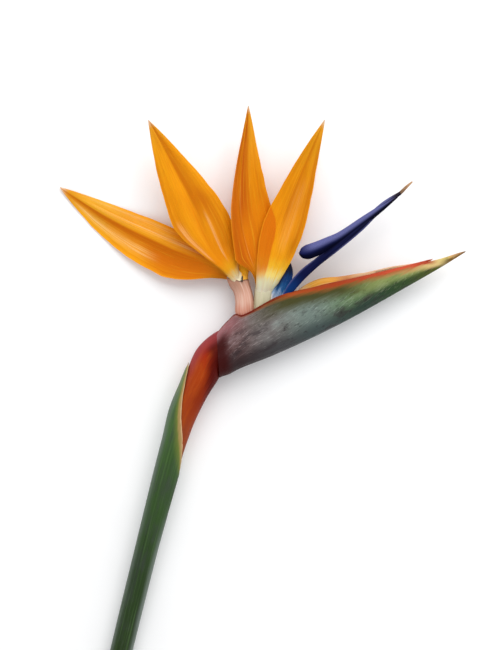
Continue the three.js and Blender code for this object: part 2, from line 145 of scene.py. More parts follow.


# Sepals and petals. A feature is [across, before, after, amount, from, to]: where its middle is
# across the blade (-1 left margin, 0 spine, 1 right margin), how far it spreads to either side,
# how strong it is, and between which shares of the length it runs. Pleats lift the surface, in
# mm. Deep and pale are colour. Deep is the dark of a fold, partly its own darker tone and partly
# painted shade where the fold turns from the light. Pale is the wax on a ridge, partly a painted
# highlight where the ridge catches the light. The far sepals are plain, because the near ones hide
# them.
BLADE_THICKNESS = 0.6
CLAW_THICKNESS = 2.2  # where a sepal grows on its tube
RIB_HEIGHT = 0.09
THROUGH_SHADE = 0.75  # how dark the painted shade is where a blade lies behind, standing for that blade seen through
FAR_FEATURES = {
    "pleats": [[0.4, 0.2, 0.2, -0.5, 0.2, 0.9], [-0.4, 0.2, 0.2, -0.5, 0.2, 0.9]],
    "deep": [[0.2, 0.2, 0.2, 0.3, 0.3, 0.9]],
    "pale": [[-0.3, 0.2, 0.2, 0.4, 0.3, 0.8]],
}
BLADES = {
    "floret_1_sepal_left": SimpleNamespace(
        spine=[
            [-18.4, 72.7, 12.2], [-31, 81.5, 12.4], [-62.8, 96.2, 7.6], [-92, 109.6, 2.4],
            [-122.2, 126.0, 1.7],
        ],
        left=half(3.0, 20.9, 0.36, 1.1, 1.65, 0.5, 0.38),
        right=half(2.8, 8.4, 0.4, 0.8, 2.0, 0.35, 0.05),
        pleats=[
            [-0.15, 0.09, 0.25, 1.3, 0.06, 1.0], [-0.42, 0.18, 0.14, -0.7, 0.1, 0.95],
            [-0.72, 0.12, 0.1, 0.5, 0.3, 0.95], [0.5, 0.15, 0.2, 0.35, 0.1, 0.9],
        ],
        deep=[[-0.2, 0.34, 0.05, 1.0, -0.05, 1.2], [-0.65, 0.35, 0.3, 0.75, -0.1, 0.52]],
        pale=[
            [-0.66, 0.1, 0.14, 1.0, 0.36, 0.94], [0.1, 0.12, 0.2, 0.8, 0.1, 0.92],
            [0.65, 0.2, 0.2, 0.6, 0.3, 0.98],
        ],
    ),
    "floret_1_sepal_near": SimpleNamespace(
        spine=[
            [-15.4, 70.6, 17.4], [-20.4, 76.4, 16.8], [-29.4, 87.2, 16.8], [-43.5, 116, 19], [-57.9, 145, 25],
            [-68.4, 165.3, 31],
        ],
        left=half(3.2, 15.2, 0.42, 3.4, 1.5, -0.3, -0.2),
        right=half(1.8, 18.4, 0.34, 0.95, 1.3, -0.2, -0.3),
        pleats=[
            [0.08, 0.1, 0.45, -1.3, 0.25, 1.1], [0.86, 0.18, 0.1, 0.5, 0.2, 0.95],
            [-0.35, 0.2, 0.25, 0.7, 0.1, 0.9], [0.3, 0.05, 0.12, 0.5, 0.06, 0.48],
            [-0.7, 0.08, 0.06, -0.35, 0.1, 0.6],
        ],
        deep=[
            [0.13, 0.07, 0.48, 0.9, 0.3, 1.15], [0.5, 0.14, 0.25, 0.6, 0.08, 0.6],
            [-0.98, 0.2, 0.26, 0.6, 0.2, 0.85], [-0.12, 0.1, 0.2, 0.3, 0.1, 0.6],
        ],
        pale=[[-0.74, 0.1, 0.1, 1.0, 0.13, 0.44], [0.3, 0.03, 0.05, 1.0, 0.09, 0.44]],
    ),
    "floret_1_sepal_far": SimpleNamespace(
        spine=[
            [-11.2, 69.6, 14.2], [-10.9, 75.0, 14.6], [-10.4, 82, 13.4], [-9.6, 105, 6.8], [-9.2, 130, 5.2],
            [-8.8, 160, 4.6],
        ],
        left=half(2.4, 9.0, 0.4, 1.4, 1.3, 0.1, 0),
        right=half(2.1, 10.0, 0.4, 2.4, 1.3, 0.1, 0),
        **FAR_FEATURES,
    ),
    "floret_2_sepal_upright": SimpleNamespace(
        spine=[
            [-2.6, 66.0, 15.6], [-4.9, 76, 17.8], [-9.6, 90, 20.6], [-13.4, 108, 22.2], [-13.6, 130, 23],
            [-8.8, 174.2, 24],
        ],
        left=half(1.5, 9.0, 0.19, 5, 0.75, -0.1, 0),
        right=half(1.8, 20.6, 0.36, 1.2, 1.2, -0.15, -0.25),
        pleats=[
            [0.0, 0.06, 0.1, 0.45, 0.05, 0.95], [0.3, 0.2, 0.3, -0.8, 0.3, 0.98],
            [-0.5, 0.25, 0.3, 0.7, 0.05, 0.9],
        ],
        deep=[[0.04, 0.04, 0.26, 1.0, 0.3, 1.2], [-0.55, 0.6, 0.5, 0.85, -0.1, 1.05]],
        pale=[[0.0, 0.03, 0.02, 0.6, 0.03, 0.62], [-0.92, 0.1, 0.12, 0.4, 0.3, 0.95]],
    ),
    "floret_2_sepal_near": SimpleNamespace(
        spine=[
            [0.6, 62.4, 17.6], [3.8, 77.0, 20.6], [9.8, 100.2, 25], [26.9, 143.9, 32], [36.6, 165.3, 35.5],
        ],
        left=half(5.1, 10.4, 0.38, 1.1, 1.25, -0.08, -0.1),
        right=half(5.1, 14.2, 0.37, 1.2, 1.4, 0.4, 0.12),
        pleats=[
            [0.0, 0.12, 0.25, -1.0, 0.25, 1.0], [0.5, 0.25, 0.2, 0.8, 0.1, 0.9],
            [0.8, 0.12, 0.12, -0.5, 0.15, 0.9],
        ],
        deep=[[0.02, 0.05, 0.16, 0.85, 0.28, 1.15], [0.84, 0.2, 0.2, 0.75, 0.1, 0.96]],
        pale=[[0.35, 0.2, 0.2, 0.25, 0.2, 0.7]],
    ),
    "floret_2_sepal_far": SimpleNamespace(
        spine=[[0.8, 62.4, 6.8], [4.6, 77.4, 6.8], [11.4, 100, 6.4], [25.0, 135, 5.2], [33.4, 154, 4.6]],
        left=half(4.0, 8.0, 0.38, 1.1, 1.5, 0.1, 0),
        right=half(4.0, 9.4, 0.42, 1.6, 1.5, 0.1, 0),
        **FAR_FEATURES,
    ),
    "floret_2_small_petal": SimpleNamespace(
        spine=[[5.9, 54.6, 13.2], [9.2, 61.2, 13.7], [12.6, 70.0, 15.0], [16.2, 80.6, 17.2]],
        left=half(3.8, 4.2, 0.3, 1, 1.1, -0.2, 0),
        right=half(2.8, 4.6, 0.45, 1, 3.4, 0.3, 0),
        pleats=[[-0.7, 0.2, 0.2, 0.4, 0.0, 0.9]],
        deep=[[-0.85, 0.3, 0.5, 1.0, 0.22, 1.4], [0.0, 1.2, 1.2, 0.9, 0.66, 1.6]],
        pale=[[0.1, 0.4, 0.4, 1.0, 0.3, 0.8]],
    ),
}

# ---- Shape tools ----


def smoothstep(value, low, high):
    t = np.clip((value - low) / (high - low), 0, 1)
    return t * t * (3 - 2 * t)


def window(value, rise_from, rise_to, fall_from, fall_to):
    """1 between the rise and the fall, and 0 beyond them."""
    return smoothstep(value, rise_from, rise_to) * (1 - smoothstep(value, fall_from, fall_to))


def lerp(a, b, t):
    return a + (b - a) * t


def unit(vectors):
    return vectors / np.linalg.norm(vectors, axis=-1, keepdims=True)


def bumps(features, u, v):
    """The sum of a blade's lengthwise features at u along it and v across it."""
    total = np.zeros(np.broadcast(u, v).shape)
    for across, before, after, amount, start, stop in features:
        ease = 0.25 * (stop - start)
        spread = np.where(v < across, before, after)
        shown = window(u, start, start + ease, stop - ease, stop)
        total = total + amount * shown * np.exp(-(((v - across) / spread) ** 2))
    return total


def waver(x, seed, waves=6):
    """A smooth irregular line through zero, about 1 high, from sine waves with seeded phases."""
    phases = np.random.default_rng(seed).uniform(0, 2 * math.pi, waves)
    return sum(np.sin((k + 1) * 2 * math.pi * x + p) / (k + 1) for k, p in enumerate(phases))


def catmull_rom(points, t):
    """Points of the centripetal Catmull-Rom curve through points, at shares t of its knots."""
    points = np.asarray(points, float)
    last = len(points) - 1
    padded = np.vstack([2 * points[0] - points[1], points, 2 * points[-1] - points[-2]])
    k = np.minimum((t * last).astype(int), last - 1)
    f = (t * last - k)[..., None]
    p0, p1, p2, p3 = (padded[k + i] for i in range(4))

    def spacing(a, b):
        return np.sqrt(np.maximum(np.linalg.norm(b - a, axis=-1, keepdims=True), 1e-8))

    d0, d1, d2 = spacing(p0, p1), spacing(p1, p2), spacing(p2, p3)
    m1 = ((p1 - p0) / d0 - (p2 - p0) / (d0 + d1) + (p2 - p1) / d1) * d1
    m2 = ((p2 - p1) / d1 - (p3 - p1) / (d1 + d2) + (p3 - p2) / d2) * d1
    rise = p2 - p1
    return p1 + f * (m1 + f * (3 * rise - 2 * m1 - m2 + f * (m1 + m2 - 2 * rise)))


class Track:
    """A line through stations of three or more numbers, walked by length. The numbers past the
    first three are a rod's radii in the plane and upright."""

    knots = np.linspace(0, 1, 3001)

    def __init__(self, stations):
        table = np.array(stations, float)
        self.places = table[:, :3]
        self.radii = table[:, 3:]
        walked = catmull_rom(self.places, self.knots)
        steps = np.linalg.norm(np.diff(walked, axis=0), axis=1)
        self.walked = np.concatenate([[0], np.cumsum(steps)])
        self.length = self.walked[-1]

    def at(self, u):
        """Where the line is at shares u of its length, which way it runs, and how thick it is."""
        t = np.interp(np.clip(u, 0, 1) * self.length, self.walked, self.knots)
        centre = catmull_rom(self.places, t)
        near = 1e-3
        ahead = catmull_rom(self.places, np.minimum(t + near, 1))
        behind = catmull_rom(self.places, np.maximum(t - near, 0))
        along = unit(ahead - behind)
        side = unit(np.stack([along[..., 1], -along[..., 0], 0 * along[..., 0]], axis=-1))
        place = SimpleNamespace(centre=centre, side=side, upward=np.cross(side, along))
        if self.radii.shape[1]:
            radii = catmull_rom(self.radii, t)
            place.flat = radii[..., 0]
            place.upright = radii[..., 1]
        return place


def points_round(place, angle, extra):
    """Points extra mm off a rod, at angles measured from its right side over its top."""
    sideways = ((place.flat + extra) * np.cos(angle))[..., None] * place.side
    upwards = ((place.upright + extra) * np.sin(angle))[..., None] * place.upward
    return place.centre + sideways + upwards


def both_faces(shape, shared=1):
    """A function that puts values on a sheet's front and its back, the same ones if none are given
    for the back. The back runs the other way and leaves out the shared point at each margin."""
    columns = shape[1]

    def spread(front, back=None):
        front = np.broadcast_to(front, shape)
        back = front if back is None else np.broadcast_to(back, shape)
        return np.concatenate([front, back[:, shared : columns - shared][:, ::-1]], axis=1)

    return spread


def grain(along, across, seed):
    """A piece's own coordinates in mm for its patterns, with a third that keeps pieces apart."""
    along, across, apart = np.broadcast_arrays(along, across, seed * 31.0)
    return np.stack([along, across, apart], axis=-1)


def cap(ring):
    """Faces across the end of a ring with an even number of points."""
    count = len(ring)
    faces = []
    for j in range(count // 2):
        corners = [ring[j], ring[j + 1], ring[(count - j - 1) % count], ring[(count - j) % count]]
        faces.append(list(dict.fromkeys(corners)))
    return faces


def placed(name, data):
    """A new object in the scene."""
    thing = bpy.data.objects.new(name, data)
    bpy.context.scene.collection.objects.link(thing)
    return thing


def skin(name, rings, marks, joined=False):
    """A closed smooth mesh through rings of points in mm, with marks at its points. With joined,
    the last ring meets the first. The faces of both end caps have material 1."""
    rows, columns, _ = rings.shape
    index = np.arange(rows * columns).reshape(rows, columns)
    here = index if joined else index[:-1]
    ahead = np.roll(index, -1, axis=0) if joined else index[1:]
    corners = [here, np.roll(here, -1, axis=1), np.roll(ahead, -1, axis=1), ahead]
    faces = np.stack(corners, axis=-1).reshape(-1, 4).tolist()
    walls = len(faces)
    if not joined:
        faces += [face[::-1] for face in cap(index[0].tolist())]
        faces += cap(index[-1].tolist())
    mesh = bpy.data.meshes.new(name)
    mesh.from_pydata((rings.reshape(-1, 3) * MM).tolist(), [], faces)
    for label, values in marks.items():
        values = np.broadcast_to(values, rings.shape if np.ndim(values) == 3 else rings.shape[:2])
        kind = ("FLOAT", "value") if values.ndim == 2 else ("FLOAT_VECTOR", "vector")
        attribute = mesh.attributes.new(label, kind[0], "POINT")
        attribute.data.foreach_set(kind[1], np.ascontiguousarray(values, np.float32).ravel())
    mesh.polygons.foreach_set("use_smooth", [True] * len(faces))
    mesh.polygons.foreach_set("material_index", [0] * walls + [1] * (len(faces) - walls))
    solid = bmesh.new()
    solid.from_mesh(mesh)
    bmesh.ops.recalc_face_normals(solid, faces=solid.faces)
    solid.to_mesh(mesh)
    solid.free()
    mesh.set_sharp_from_angle(angle=math.radians(60))
    return placed(name, mesh)


def dress(piece, slot, materials, *nodes):
    """Gives a piece its materials, its body and the solids that it stands for. slot is not used."""
    for material in materials:
        piece.data.materials.append(material)
    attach(piece, "root")
    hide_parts(*nodes)


# ---- Colours along the larger pieces, as 0xRRGGBB at shares of their length ----

NECK_BODY = [
    (0.0, 0x42582C), (0.55, 0x705E30), (0.62, 0x8A4020), (0.7, 0x963A14), (0.78, 0x9C380C),
    (0.83, 0x98280C), (0.86, 0x6A1C18),
]
BUD_BODY = [
    (0.05, 0xF6E2D0), (0.24, 0xF4CE9C), (0.38, 0xECA83A), (0.54, 0xE8A038), (0.7, 0xCC8450),
    (0.88, 0xE4BC94),
]
SPATHE_BODY = [
    (0.0, 0x4E2C30), (0.08, 0x5E4746), (0.2, 0x686260), (0.38, 0x6C7A72), (0.56, 0x5E7650),
    (0.7, 0x6C824C), (0.8, 0x98A260), (0.88, 0xAEAC58), (0.92, 0xD2B860), (0.95, 0xC69460),
    (0.975, 0xAA6C40), (1.0, 0x7E482A),
]
# Painted shade towards the keel, on the underside that faces away from the light.
SPATHE_KEEL_SHADE = [
    (0.08, 0x2A1C1E), (0.25, 0x3A3A3C), (0.4, 0x364242), (0.58, 0x22342E), (0.75, 0x1E3A1C),
    (0.88, 0x3C460E), (0.96, 0x74501C),
]
# Waxy bloom, partly a painted highlight on the upper flank.
SPATHE_WAX_AND_HIGHLIGHT = [(0.05, 0x967C7E), (0.3, 0x8A9892), (0.7, 0x93A076)]
SPATHE_SCRATCHES = [(0.05, 0xB8A2A2), (0.4, 0x9EACA4), (0.8, 0xB8BD90)]
SPATHE_LIP = [
    (0.1, 0x62140A), (0.25, 0x6C260E), (0.34, 0xA2461C), (0.5, 0x9A3A18), (0.66, 0xB04226),
    (0.76, 0xC04A2C), (0.87, 0x9C3A22),
]
SPATHE_INSIDE = [(0.0, 0xB07A6C), (0.3, 0xD89A74), (0.5, 0xF2C8A6), (0.9, 0xE6D3A0)]

# ---- Material tools ----


def colour(hex_code):
    """Linear red, green, blue and alpha of a colour written as 0xRRGGBB."""
    channels = [(hex_code >> shift & 255) / 255 for shift in (16, 8, 0)]
    linear = [c / 12.92 if c <= 0.04045 else ((c + 0.055) / 1.055) ** 2.4 for c in channels]
    return (*linear, 1.0)


class Field:
    """What a material's node puts out: a number or a colour that varies over the piece."""

    def __init__(self, paint, socket):
        self.paint = paint
        self.socket = socket

    def math(self, operation, other):
        return self.paint.field("Math", 0, {0: self, 1: other}, operation=operation)

    def __add__(self, other):
        return self.math("ADD", other)

    def __mul__(self, other):
        return self.math("MULTIPLY", other)

    def __truediv__(self, other):
        return self.math("DIVIDE", other)

    def fit(self, low, high, top=1.0, bottom=0.0):
        """This number eased from low..high to bottom..top."""
        inputs = {0: self, 1: low, 2: high, 3: bottom, 4: top}
        return self.paint.field("MapRange", 0, inputs, interpolation_type="SMOOTHSTEP")

    def jitter(self, size):
        """A noise as a number from -size to size."""
        return self.fit(0.3, 0.7, size, -size)

    def ramp(self, stops):
        """A colour that changes with this number, from stops of (number, 0xRRGGBB)."""
        made = self.paint.node("ValToRGB", {0: self})
        made.color_ramp.interpolation = "EASE"
        elements = made.color_ramp.elements
        while len(elements) < len(stops):
            elements.new(0.5)
        for element, (position, hex_code) in zip(elements, stops):
            element.position = position
            element.color = colour(hex_code)
        return Field(self.paint, made.outputs[0])


class Paint:
    """A material being built, node by node. Its base is the colour so far."""

    def __init__(self, name):
        self.material = bpy.data.materials.new(name)
        self.material.use_nodes = True
        self.tree = self.material.node_tree
        self.tree.nodes.clear()
        self.base = None

    def node(self, kind, inputs=(), **settings):
        made = self.tree.nodes.new("ShaderNode" + kind)
        for setting, value in settings.items():
            setattr(made, setting, value)
        for socket, value in dict(inputs).items():
            if isinstance(value, Field):
                self.tree.links.new(value.socket, made.inputs[socket])
            else:
                made.inputs[socket].default_value = value
        return made

    def field(self, kind, output, inputs=(), **settings):
        return Field(self, self.node(kind, inputs, **settings).outputs[output])

    def mark(self, name):
        return self.field("Attribute", "Fac", attribute_name=name)

    def noise(self, along, across, detail=4.0, roughness=0.55, distortion=0.0, mark="grain"):
        """Noise over the piece's own coordinates, with so many waves to the mm each way."""
        place = self.field("Attribute", "Vector", attribute_name=mark)
        stretched = self.field("VectorMath", 0, {0: place, 1: (along, across, 1.0)}, operation="MULTIPLY")
        inputs = {"Vector": stretched, "Scale": 1.0, "Detail": detail, "Roughness": roughness}
        return self.field("TexNoise", "Fac", {**inputs, "Distortion": distortion})

    def cover(self, amount, over):
        """Lays a colour, a field or 0xRRGGBB, on the base by amount."""
        inputs = {0: amount, 6: self.base, 7: colour(over) if isinstance(over, int) else over}
        self.base = self.field("Mix", 2, inputs, data_type="RGBA")

    def finish(self, height, depth, strength, rough, gloss=0.5, glow=0.0):
        """Ends in a skin with height as its relief, depth mm deep, and a share, glow, of light
        that comes through the blade."""
        relief = {"Height": height, "Distance": depth * MM, "Strength": strength}
        normal = self.field("Bump", "Normal", relief)
        inputs = {"Base Color": self.base, "Normal": normal, "Roughness": rough}
        shader = self.field("BsdfPrincipled", 0, {**inputs, "Specular IOR Level": gloss})
        if glow:
            through = self.field("BsdfTranslucent", 0, {"Color": self.base, "Normal": normal})
            shader = self.field("MixShader", 0, {0: glow, 1: shader, 2: through})
        self.node("OutputMaterial", {"Surface": shader})
        return self.material


# ---- Materials ----


def sepal_paint(name, foot, body, deep, pale=0xFFCB8E, streaky=1.0):
    """An orange sepal: colours along it, brown in its folds, partly painted shade, and waxy white streaks on
    its ridges, partly a painted highlight.
    """
    paint = Paint(name)
    along = paint.mark("along")
    cells = paint.noise(0.35, 2.2, detail=6)
    streaks = paint.noise(0.02, 0.85, detail=6, roughness=0.65)
    veins = paint.noise(0.014, 1.9, roughness=0.6)
    clouds = paint.noise(0.03, 0.12, detail=2)
    place = along + streaks.jitter(0.02)
    paint.base = place.ramp(foot + body + [(0.95, 0xF2AC24), (1.0, 0xF8E8CC)])
    paint.cover(clouds.fit(0.4, 0.75, 0.3), deep)
    # Painted shade in the folds, on top of their own darker tone.
    paint.cover(paint.mark("deep") * streaks.fit(0.2, 0.6, 1.0, 0.85), deep)
    paint.cover(streaks.fit(0.52, 0.68, 0.4), 0xFFBE28)
    past_foot = along.fit(0.03, 0.15, streaky, 0.15 * streaky)
    brown = streaks.fit(0.48, 0.33, 0.4) + veins.fit(0.47, 0.34, 0.35)
    paint.cover(brown * past_foot, deep)
    # Painted shade where another blade lies behind, standing for it seen through this one.
    paint.cover(paint.mark("behind"), 0xE26E04)
    # Waxy white streaks on the ridges, partly a painted highlight.
    lines = veins.fit(0.46, 0.58, 0.65, 0.05) + streaks.fit(0.45, 0.6, 0.35)
    paint.cover(paint.mark("pale") * lines, pale)
    paint.cover(paint.mark("margin") * 0.6, 0xFBB520)
    height = cells * 0.3 + streaks + veins * 0.6
    return paint.finish(height, 0.45, 0.8, cells.fit(0.3, 0.7, 0.6, 0.45), gloss=0.09, glow=0.25)


def sepal_paints():
    """Each sepal's own paint: they differ in their feet, and the upright one is redder."""
    golden_foot = [(0.0, 0xC98A30), (0.06, 0xDE9A1C)]
    cream_foot = [(0.0, 0xEADFC0), (0.03, 0xE8CC84), (0.065, 0xF3AE1C)]
    yellow_foot = [(0.0, 0xF3C468), (0.06, 0xF8B21C)]
    green_foot = [(0.0, 0xEEE9D0), (0.06, 0xF8F8D0), (0.105, 0xFFEE88), (0.16, 0xFFCB30)]
    body_left = [(0.15, 0xE88C06), (0.5, 0xFEB012), (0.8, 0xFFBE24)]
    body_near = [(0.14, 0xF79A08), (0.4, 0xF2A00A), (0.8, 0xF5A910)]
    body_far = [(0.2, 0xF29408), (0.8, 0xEF9F16)]
    body_upright = [(0.1, 0xF09A18), (0.16, 0xF0860A), (0.35, 0xEE8E06), (0.6, 0xEA9204)]
    body_second = [(0.22, 0xFFB112), (0.35, 0xF7A20A), (0.6, 0xEA9606), (0.85, 0xE69E14)]
    return {
        "floret_1_sepal_left": sepal_paint("sepal left", golden_foot, body_left, 0xE07804, 0xFFD890),
        "floret_1_sepal_near": sepal_paint("sepal near", cream_foot, body_near, 0xD87A05),
        "floret_1_sepal_far": sepal_paint("sepal far", yellow_foot, body_far, 0xD87A05),
        "floret_2_sepal_upright": sepal_paint(
            "sepal upright", golden_foot, body_upright, 0xC85E02, 0xFFB868, streaky=0.45
        ),
        "floret_2_sepal_near": sepal_paint("sepal second near", green_foot, body_second, 0xD67C06),
        "floret_2_sepal_far": sepal_paint("sepal second far", green_foot, body_second, 0xC86C06),
    }


def blue_petal_paint():
    """The free blue petal: white at its foot, speckled blue, navy at its left margin."""
    paint = Paint("blue petal")
    flecks = paint.noise(0.9, 1.3, detail=5, roughness=0.7)
    streaks = paint.noise(0.12, 1.6)
    place = paint.mark("along") + streaks.jitter(0.08)
    stops = [(0.1, 0xE2D6D4), (0.26, 0x8FA8C6), (0.4, 0x1F5A92), (0.64, 0x0E3A74), (0.95, 0x0A1430)]
    paint.base = place.ramp(stops)
    paint.cover(paint.mark("deep") * 0.92, 0x060C24)
    paint.cover(paint.mark("pale") * flecks.fit(0.6, 0.7, 0.7), 0x8FAED2)
    return paint.finish(flecks, 0.3, 0.5, flecks.fit(0.3, 0.7, 0.5, 0.35), gloss=0.2)


def arrow_paint():
    """The arrow: near-black navy, bluer at its foot, with a lavender bloom on the flanks that
    face the light, partly a painted highlight, and painted shade on the flanks turned away."""
    paint = Paint("blue arrow")
    streaks = paint.noise(0.06, 1.2, detail=5)
    grains = paint.noise(1.2, 1.6, detail=5, roughness=0.65)
    stops = [(0.0, 0x0E1244), (0.2, 0x0B1038), (0.5, 0x090C2C), (0.85, 0x0C0E22), (1.0, 0x2A2024)]
    paint.base = paint.mark("along").ramp(stops)
    paint.cover(streaks.fit(0.4, 0.7, 0.35), 0x1A2050)
    # Painted shade on the flanks turned from the light and in the groove beside the lobes.
    paint.cover(paint.mark("side").fit(0.0, 0.6, 0.92), 0x010216)
    paint.cover(paint.mark("foot") * 0.9, 0x0C4286)
    # Lavender bloom, partly a painted highlight on the lit flanks.
    paint.cover(paint.mark("bloom") * grains.fit(0.25, 0.7, 0.95, 0.6), 0x63669A)
    rough = grains.fit(0.3, 0.7, 0.55, 0.38)
    return paint.finish(grains + streaks * 1.5, 0.25, 0.5, rough, gloss=0.03)


def tube_paint(name, body, edge):
    """A floret's tube: fleshy, streaked lengthwise and darker at its edges. Above the seam where
    sepals grow on, it has their colour."""
    paint = Paint(name)
    streaks = paint.noise(0.05, 1.1, detail=5)
    cells = paint.noise(0.6, 1.8, detail=5)
    paint.base = paint.mark("along").ramp(body)
    paint.cover(streaks.fit(0.45, 0.7, 0.4), 0xF2DAC8)
    paint.cover(streaks.fit(0.45, 0.25, 0.35), edge)
    paint.cover(paint.mark("edge") * 0.55, edge)
    above = paint.mark("above") + streaks.jitter(0.15)
    paint.cover(above.fit(0.0, 0.5), paint.mark("claw").ramp([(0.35, 0xE9DCB4), (0.65, 0xEFAE2C)]))
    seam = above.fit(-0.55, -0.1) * above.fit(0.5, 0.1)
    paint.cover(seam * 0.85, 0x5A3015)
    return paint.finish(cells, 0.3, 0.5, cells.fit(0.3, 0.7, 0.56, 0.42), gloss=0.3, glow=0.12)


def stem_paint():
    """The neck: orange-red, maroon on its underside, partly its own colour and partly painted shade, a
    painted shadow in the crease where it goes into the spathe, and mauve where the spathe begins.
    """
    paint = Paint("neck skin")
    along = paint.mark("along")
    side = paint.mark("side")
    streaks = paint.noise(0.03, 0.7, detail=6, roughness=0.6)
    fibres = paint.noise(0.03, 2.4, detail=3)
    blotches = paint.noise(0.1, 0.22, detail=3)
    paint.base = along.ramp(NECK_BODY)
    paint.cover(blotches.fit(0.4, 0.7, 0.5), 0xAA4A10)
    paint.cover(streaks.fit(0.55, 0.75, 0.3), 0xB8602E)
    paint.cover(fibres.fit(0.45, 0.3, 0.35), 0x6A2412)
    shade = side.fit(-0.1, 0.65, 0.85) * along.fit(0.64, 0.76, 1.0, 0.25)
    paint.cover(shade, 0x741A02)
    # Maroon on the right side towards the spathe, partly its own colour and partly painted shade.
    spread = streaks.jitter(0.1) + along.fit(0.7, 0.84, 0.7, -0.4)
    maroon = (side + spread).fit(0.35, 1.0, 0.95)
    paint.cover(maroon, 0x4A0602)
    # Painted shadow in the crease where the neck goes into the spathe.
    crease_shadow = along.fit(0.818, 0.845, 0.9) * side.fit(-0.85, -0.4)
    paint.cover(crease_shadow, 0x4C0A06)
    flush = side.fit(-0.3, -0.95, 0.8) * along.fit(0.7, 0.84)
    paint.cover(flush, 0x8C3A40)
    rough = streaks.fit(0.3, 0.7, 0.52, 0.36)
    return paint.finish(streaks + fibres * 0.5, 0.4, 0.5, rough, gloss=0.06)


def cut_paint():
    """The cut end: pale, moist, dotted with the ends of the stem's fibres."""
    paint = Paint("cut end")
    place = paint.field("TexCoord", "Object")
    dots = paint.field("TexVoronoi", "Distance", {"Vector": place, "Scale": 1100.0})
    paint.base = dots.ramp([(0.15, 0x7F8650), (0.45, 0xC9CC9A), (0.9, 0xDADBB4)])
    return paint.finish(dots, 0.2, 0.6, 0.45)


def sheath_paint():
    """The sheathing bract: dark green with a grey bloom along its sides that is partly a painted sheen, and a
    dry tan margin.
    """
    paint = Paint("sheath leaf")
    mouth = paint.mark("mouth")
    streaks = paint.noise(0.02, 1.1, detail=6, roughness=0.62)
    blotches = paint.noise(0.06, 0.2, roughness=0.6)
    stops = [(0.0, 0x223214), (0.3, 0x273A1C), (0.6, 0x314A24), (0.85, 0x3E5C2E), (0.97, 0x667038)]
    paint.base = paint.mark("along").ramp(stops)
    paint.cover(blotches.fit(0.4, 0.7, 0.55), 0x393E3A)
    paint.cover(streaks.fit(0.5, 0.72, 0.4), 0x52703E)
    paint.cover(streaks.fit(0.46, 0.25, 0.5), 0x16200F)
    # Grey wax bloom along the sides, partly a painted sheen.
    paint.cover(paint.mark("edge") * blotches.fit(0.2, 0.7, 0.85, 0.4), 0x747E76)
    paint.cover(mouth.fit(4.5, 1.0, 0.75), 0x6F7830)
    dry = mouth + streaks.jitter(0.15)
    paint.cover(dry.fit(2.1, 1.0, 0.95), 0x9C8250)
    paint.cover(dry.fit(0.7, 0.15, 0.7), 0xD0A882)
    paint.cover(paint.mark("inner"), 0x8C9062)
    rough = blotches.fit(0.3, 0.7, 0.6, 0.42)
    return paint.finish(streaks + blotches * 0.5, 0.4, 0.5, rough, gloss=0.09)


def spathe_paint():
    """The beak: grey-purple to green under a scratched waxy bloom that is partly a painted highlight, with
    painted shade towards the keel, a painted shadow in the crease at its foot, a red lip and a tan tip.
    """
    paint = Paint("spathe leaf")
    along = paint.mark("along")
    height = paint.mark("height")
    streaks = paint.noise(0.03, 0.6, detail=6, roughness=0.62)
    blotches = paint.noise(0.07, 0.15, detail=5, roughness=0.6)
    spots = paint.noise(0.25, 0.42, roughness=0.6)
    scratches = paint.noise(0.17, 1.5, roughness=0.65, distortion=0.4, mark="slant")
    paint.base = along.ramp(SPATHE_BODY)
    # Painted shade towards the keel.
    above_keel = height + along.fit(0.5, 0.7, -0.2)
    paint.cover(above_keel.fit(0.5, 0.08) * 0.92, along.ramp(SPATHE_KEEL_SHADE))
    paint.cover(blotches.fit(0.49, 0.36, 0.6), 0x2E2628)
    paint.cover(spots.fit(0.42, 0.33, 0.5), 0x241C20)
    # Waxy bloom on the upper flank, partly a painted highlight.
    wax_and_highlight = blotches.fit(0.5, 0.68, 0.45) * height.fit(0.2, 0.5)
    paint.cover(wax_and_highlight, along.ramp(SPATHE_WAX_AND_HIGHLIGHT))
    blush = along.fit(0.16, 0.03) * height.fit(0.6, 0.9)
    paint.cover(blush * 0.8, 0xA0686C)
    scratch = scratches.fit(0.55, 0.65, 0.36) * height.fit(0.1, 0.4)
    paint.cover(scratch, along.ramp(SPATHE_SCRATCHES))
    # Painted shadow in the crease where the neck goes in.
    crease_shadow = along.fit(0.075, 0.022) * height.fit(0.98, 0.72)
    paint.cover(crease_shadow * 0.95, 0x3A0806)
    edge = paint.mark("lip") + streaks.jitter(0.8)
    olive_run = along.fit(0.1, 0.32) * along.fit(0.72, 0.5)
    olive = edge.fit(16.0, 8.0) * olive_run
    paint.cover(olive * 0.94, 0x3A3808)
    green_run = along.fit(0.5, 0.68) * along.fit(0.96, 0.86)
    green = edge.fit(20.0, 9.0) * green_run * above_keel.fit(0.12, 0.5)
    paint.cover(green * 0.6, 0x828A4A)
    peach_run = along.fit(0.58, 0.76, 0.85) * along.fit(0.94, 0.88)
    peach = edge.fit(8.0, 4.8) * peach_run
    paint.cover(peach, along.ramp([(0.7, 0xCC9460), (0.84, 0xDCC080)]))
    edge = edge / along.fit(0.2, 0.5, 1.0, 0.5)
    warm_run = along.fit(0.1, 0.3, 0.85, 0.45) * along.fit(0.9, 0.75)
    paint.cover(edge.fit(8.5, 4.0) * warm_run, 0x8A4E1E)
    red = (edge + along.fit(0.6, 0.85, 0.5)).fit(5.4, 3.6) * along.fit(0.9, 0.85)
    paint.cover(red, along.ramp(SPATHE_LIP))
    paint.cover(paint.mark("far") * 0.85, 0xE8BC98)
    paint.cover(paint.mark("inner"), along.ramp(SPATHE_INSIDE))
    rough = blotches.fit(0.3, 0.7, 0.56, 0.38)
    return paint.finish(scratches * 0.8 + streaks, 0.45, 0.7, rough, gloss=0.09)


